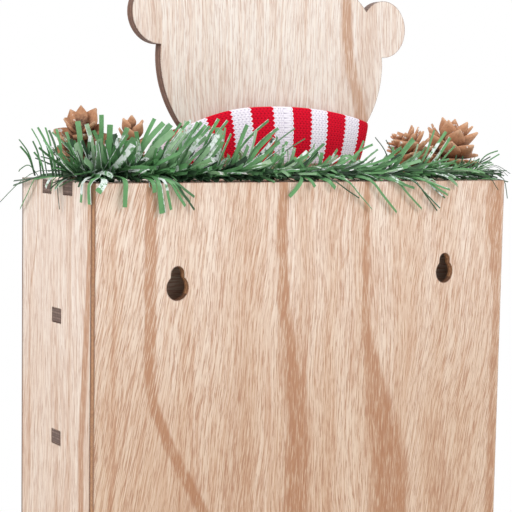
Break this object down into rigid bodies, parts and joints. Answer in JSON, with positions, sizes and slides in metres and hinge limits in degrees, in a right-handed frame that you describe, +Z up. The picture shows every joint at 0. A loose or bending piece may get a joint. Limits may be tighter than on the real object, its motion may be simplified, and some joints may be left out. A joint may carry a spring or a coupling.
{
  "type": "bear advent calendar",
  "caption": "Plywood advent calendar: a case of small pull-out drawers with a bear's head, knitted scarf, needle garland and pine cones on top, hung by two keyholes.",
  "frame": {"origin": "centre of the box's base, in the plane of the bottom panel's underside", "axes": "+Z up, -Y towards the front with the drawers, +X to the bear's left"},
  "size_m": [0.2385, 0.088, 0.3774],
  "materials": {
    "plywood": "raw, laser cut",
    "pale_wood": "raw",
    "dark_wood": "stained",
    "knit": "knitted stripes",
    "needle": "cut film strips",
    "cone_scale": "natural"
  },
  "bodies": {
    "case": {"left_side_panel": "plywood", "right_side_panel": "plywood", "top_panel": "plywood", "bottom_panel": "plywood", "shelf_1": "plywood", "shelf_2": "plywood", "shelf_3": "plywood", "shelf_4": "plywood", "shelf_5": "plywood", "divider_1": "plywood", "divider_2": "plywood", "divider_3": "plywood", "back_panel": "plywood", "head_plate": "plywood", "muzzle": "pale_wood", "nose": "dark_wood", "left_eye": "dark_wood", "right_eye": "dark_wood", "left_inner_ear": "pale_wood", "right_inner_ear": "pale_wood", "scarf": "knit", "garland_1": "needle", "garland_2": "needle", "garland_3": "needle", "garland_4": "needle", "pine_cone_left_outer": "cone_scale", "pine_cone_left_inner": "cone_scale", "pine_cone_right_inner": "cone_scale", "pine_cone_right_outer": "cone_scale"},
    "drawer_1": {"drawer_1": "plywood"},
    "drawer_2": {"drawer_2": "plywood"},
    "drawer_3": {"drawer_3": "plywood"},
    "drawer_4": {"drawer_4": "plywood"},
    "drawer_5": {"drawer_5": "plywood"},
    "drawer_6": {"drawer_6": "plywood"},
    "drawer_7": {"drawer_7": "plywood"},
    "drawer_8": {"drawer_8": "plywood"},
    "drawer_9": {"drawer_9": "plywood"},
    "drawer_10": {"drawer_10": "plywood"},
    "drawer_11": {"drawer_11": "plywood"},
    "drawer_12": {"drawer_12": "plywood"},
    "drawer_13": {"drawer_13": "plywood"},
    "drawer_14": {"drawer_14": "plywood"},
    "drawer_15": {"drawer_15": "plywood"},
    "drawer_16": {"drawer_16": "plywood"},
    "drawer_17": {"drawer_17": "plywood"},
    "drawer_18": {"drawer_18": "plywood"},
    "drawer_19": {"drawer_19": "plywood"},
    "drawer_20": {"drawer_20": "plywood"},
    "drawer_21": {"drawer_21": "plywood"},
    "drawer_22": {"drawer_22": "plywood"},
    "drawer_23": {"drawer_23": "plywood"},
    "drawer_24": {"drawer_24": "plywood"}
  },
  "joints": [
    {"name": "drawer_1_slide", "type": "slide", "parent": "case", "child": "drawer_1", "axis": [0, -1, 0], "range_m": [0, 0.038]},
    {"name": "drawer_2_slide", "type": "slide", "parent": "case", "child": "drawer_2", "axis": [0, -1, 0], "range_m": [0, 0.038]},
    {"name": "drawer_3_slide", "type": "slide", "parent": "case", "child": "drawer_3", "axis": [0, -1, 0], "range_m": [0, 0.038]},
    {"name": "drawer_4_slide", "type": "slide", "parent": "case", "child": "drawer_4", "axis": [0, -1, 0], "range_m": [0, 0.038]},
    {"name": "drawer_5_slide", "type": "slide", "parent": "case", "child": "drawer_5", "axis": [0, -1, 0], "range_m": [0, 0.038]},
    {"name": "drawer_6_slide", "type": "slide", "parent": "case", "child": "drawer_6", "axis": [0, -1, 0], "range_m": [0, 0.038]},
    {"name": "drawer_7_slide", "type": "slide", "parent": "case", "child": "drawer_7", "axis": [0, -1, 0], "range_m": [0, 0.038]},
    {"name": "drawer_8_slide", "type": "slide", "parent": "case", "child": "drawer_8", "axis": [0, -1, 0], "range_m": [0, 0.038]},
    {"name": "drawer_9_slide", "type": "slide", "parent": "case", "child": "drawer_9", "axis": [0, -1, 0], "range_m": [0, 0.038]},
    {"name": "drawer_10_slide", "type": "slide", "parent": "case", "child": "drawer_10", "axis": [0, -1, 0], "range_m": [0, 0.038]},
    {"name": "drawer_11_slide", "type": "slide", "parent": "case", "child": "drawer_11", "axis": [0, -1, 0], "range_m": [0, 0.038]},
    {"name": "drawer_12_slide", "type": "slide", "parent": "case", "child": "drawer_12", "axis": [0, -1, 0], "range_m": [0, 0.038]},
    {"name": "drawer_13_slide", "type": "slide", "parent": "case", "child": "drawer_13", "axis": [0, -1, 0], "range_m": [0, 0.038]},
    {"name": "drawer_14_slide", "type": "slide", "parent": "case", "child": "drawer_14", "axis": [0, -1, 0], "range_m": [0, 0.038]},
    {"name": "drawer_15_slide", "type": "slide", "parent": "case", "child": "drawer_15", "axis": [0, -1, 0], "range_m": [0, 0.038]},
    {"name": "drawer_16_slide", "type": "slide", "parent": "case", "child": "drawer_16", "axis": [0, -1, 0], "range_m": [0, 0.038]},
    {"name": "drawer_17_slide", "type": "slide", "parent": "case", "child": "drawer_17", "axis": [0, -1, 0], "range_m": [0, 0.038]},
    {"name": "drawer_18_slide", "type": "slide", "parent": "case", "child": "drawer_18", "axis": [0, -1, 0], "range_m": [0, 0.038]},
    {"name": "drawer_19_slide", "type": "slide", "parent": "case", "child": "drawer_19", "axis": [0, -1, 0], "range_m": [0, 0.038]},
    {"name": "drawer_20_slide", "type": "slide", "parent": "case", "child": "drawer_20", "axis": [0, -1, 0], "range_m": [0, 0.038]},
    {"name": "drawer_21_slide", "type": "slide", "parent": "case", "child": "drawer_21", "axis": [0, -1, 0], "range_m": [0, 0.038]},
    {"name": "drawer_22_slide", "type": "slide", "parent": "case", "child": "drawer_22", "axis": [0, -1, 0], "range_m": [0, 0.038]},
    {"name": "drawer_23_slide", "type": "slide", "parent": "case", "child": "drawer_23", "axis": [0, -1, 0], "range_m": [0, 0.038]},
    {"name": "drawer_24_slide", "type": "slide", "parent": "case", "child": "drawer_24", "axis": [0, -1, 0], "range_m": [0, 0.038]}
  ]
}
